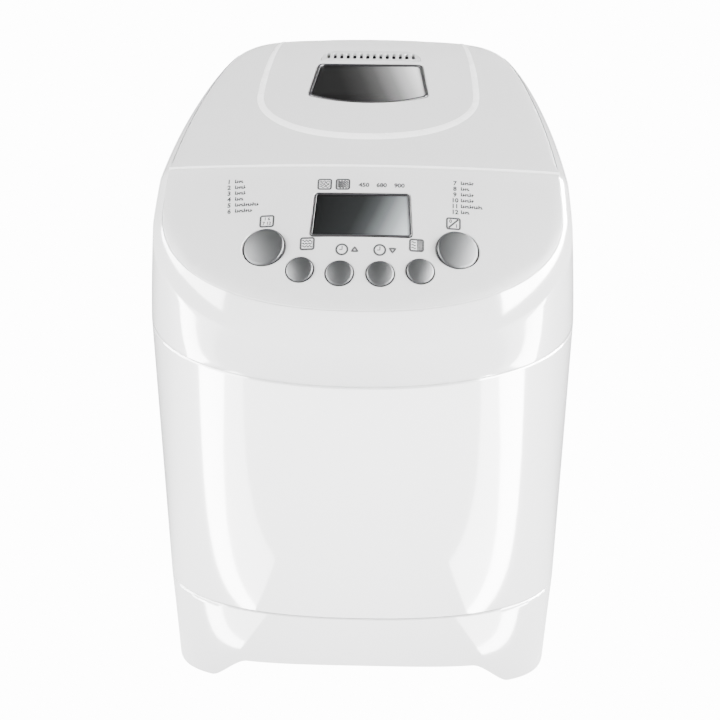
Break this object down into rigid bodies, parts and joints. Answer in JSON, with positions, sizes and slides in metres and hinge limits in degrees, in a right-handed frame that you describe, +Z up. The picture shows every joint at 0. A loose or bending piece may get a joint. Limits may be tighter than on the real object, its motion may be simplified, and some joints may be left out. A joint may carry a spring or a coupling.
{
  "type": "bread machine",
  "caption": "Countertop bread machine with tapered white housing, domed sloping control panel with display and push buttons, hinged lid with window and vent, and lift-out pan.",
  "frame": {"origin": "on the supporting surface under the middle of the machine's bounding box", "axes": "+Z up, +Y from the front control panel to the rear wall with the lid hinge, +X to the right seen from the front"},
  "size_m": [0.2284, 0.306, 0.296],
  "materials": {
    "white_shell": "gloss",
    "white_collar": "gloss",
    "panel_grey": "satin",
    "display_lens": "gloss",
    "display_black": "satin",
    "circuit_board": "satin",
    "button_silver": "satin metallic paint",
    "lid_grey": "satin",
    "trim_white": "gloss",
    "frame_dark": "gloss",
    "window_glass": "polished, tinted",
    "vent_grey": "satin",
    "liner_metal": "brushed",
    "gasket_rubber": "matt",
    "steel": "brushed",
    "element_metal": "heat-darkened",
    "nonstick_grey": "satin non-stick coating",
    "bearing_brass": "machined",
    "pulley_black": "satin",
    "belt_rubber": "matt",
    "motor_steel": "zinc plated",
    "capacitor_white": "satin",
    "gland_black": "satin",
    "foot_rubber": "matt"
  },
  "bodies": {
    "housing": {"base_tray": "white_shell", "outer_wall": "white_shell", "top_collar": "white_collar", "control_panel": "panel_grey", "display_lens": "display_lens", "display_module": "display_black", "control_board": "circuit_board", "hinge_pin_left": "steel", "hinge_pin_right": "steel", "oven_chamber": "liner_metal", "heating_element": "element_metal", "temperature_sensor": "steel", "pan_seat": "steel", "shaft_bearing": "bearing_brass", "drive_belt": "belt_rubber", "motor_body": "motor_steel", "chassis_plate": "motor_steel", "motor_capacitor": "capacitor_white", "power_board": "circuit_board", "power_inlet": "gland_black", "rubber_foot_front_left": "foot_rubber", "rubber_foot_front_right": "foot_rubber", "rubber_foot_rear_left": "foot_rubber", "rubber_foot_rear_right": "foot_rubber", "base_screw_front_left": "steel", "base_screw_front_right": "steel", "base_screw_rear_left": "steel", "base_screw_rear_right": "steel"},
    "lid": {"lid_shell": "lid_grey", "lid_trim": "trim_white", "window_frame": "frame_dark", "window_glass": "window_glass", "vent_grille": "vent_grey", "lid_liner": "liner_metal", "lid_gasket": "gasket_rubber"},
    "button_menu": {"button_menu": "button_silver"},
    "button_colour": {"button_colour": "button_silver"},
    "button_time_up": {"button_time_up": "button_silver"},
    "button_time_down": {"button_time_down": "button_silver"},
    "button_size": {"button_size": "button_silver"},
    "button_start": {"button_start": "button_silver"},
    "pan": {"bread_pan": "nonstick_grey", "spindle_seal": "gasket_rubber"},
    "handle": {"pan_handle": "steel"},
    "paddle": {"kneading_paddle": "nonstick_grey", "pan_spindle": "steel", "pan_coupling": "steel"},
    "drive": {"drive_shaft": "steel", "drive_dog": "steel", "driven_pulley": "pulley_black"},
    "motor_rotor": {"motor_shaft": "steel", "motor_pulley": "steel"}
  },
  "joints": [
    {"name": "lid_hinge", "type": "hinge", "parent": "housing", "child": "lid", "pos_m": [0, 0.138, 0.278], "axis": [-1, 0, 0], "range_deg": [0, 80]},
    {"name": "button_menu_press", "type": "slide", "parent": "housing", "child": "button_menu", "axis": [0.2434, 0.5074, -0.8267], "range_m": [0, 0.0012], "stiffness_N_per_m": 400},
    {"name": "button_colour_press", "type": "slide", "parent": "housing", "child": "button_colour", "axis": [0.1568, 0.5642, -0.8106], "range_m": [0, 0.0012], "stiffness_N_per_m": 400},
    {"name": "button_time_up_press", "type": "slide", "parent": "housing", "child": "button_time_up", "axis": [0.0625, 0.5732, -0.817], "range_m": [0, 0.0012], "stiffness_N_per_m": 400},
    {"name": "button_time_down_press", "type": "slide", "parent": "housing", "child": "button_time_down", "axis": [-0.0625, 0.5732, -0.817], "range_m": [0, 0.0012], "stiffness_N_per_m": 400},
    {"name": "button_size_press", "type": "slide", "parent": "housing", "child": "button_size", "axis": [-0.1568, 0.5642, -0.8106], "range_m": [0, 0.0012], "stiffness_N_per_m": 400},
    {"name": "button_start_press", "type": "slide", "parent": "housing", "child": "button_start", "axis": [-0.2434, 0.5074, -0.8267], "range_m": [0, 0.0012], "stiffness_N_per_m": 400},
    {"name": "pan_lift", "type": "slide", "parent": "housing", "child": "pan", "axis": [0, 0, 1], "range_m": [0, 0.015]},
    {"name": "handle_swing", "type": "hinge", "parent": "pan", "child": "handle", "pos_m": [0, 0.038, 0.222], "axis": [1, 0, 0], "range_deg": [0, 30]},
    {"name": "paddle_spin", "type": "hinge", "parent": "pan", "child": "paddle", "pos_m": [0, 0.038, 0.08], "axis": [0, 0, 1], "continuous": true},
    {"name": "drive_spin", "type": "hinge", "parent": "housing", "child": "drive", "pos_m": [0, 0.038, 0.04], "axis": [0, 0, 1], "continuous": true},
    {"name": "motor_spin", "type": "hinge", "parent": "housing", "child": "motor_rotor", "pos_m": [0, -0.092, 0.04], "axis": [0, 0, 1], "continuous": true}
  ],
  "couplings": [
    {"joint": "motor_spin", "follows": "drive_spin", "ratio": 4},
    {"joint": "paddle_spin", "follows": "drive_spin", "ratio": 1}
  ]
}
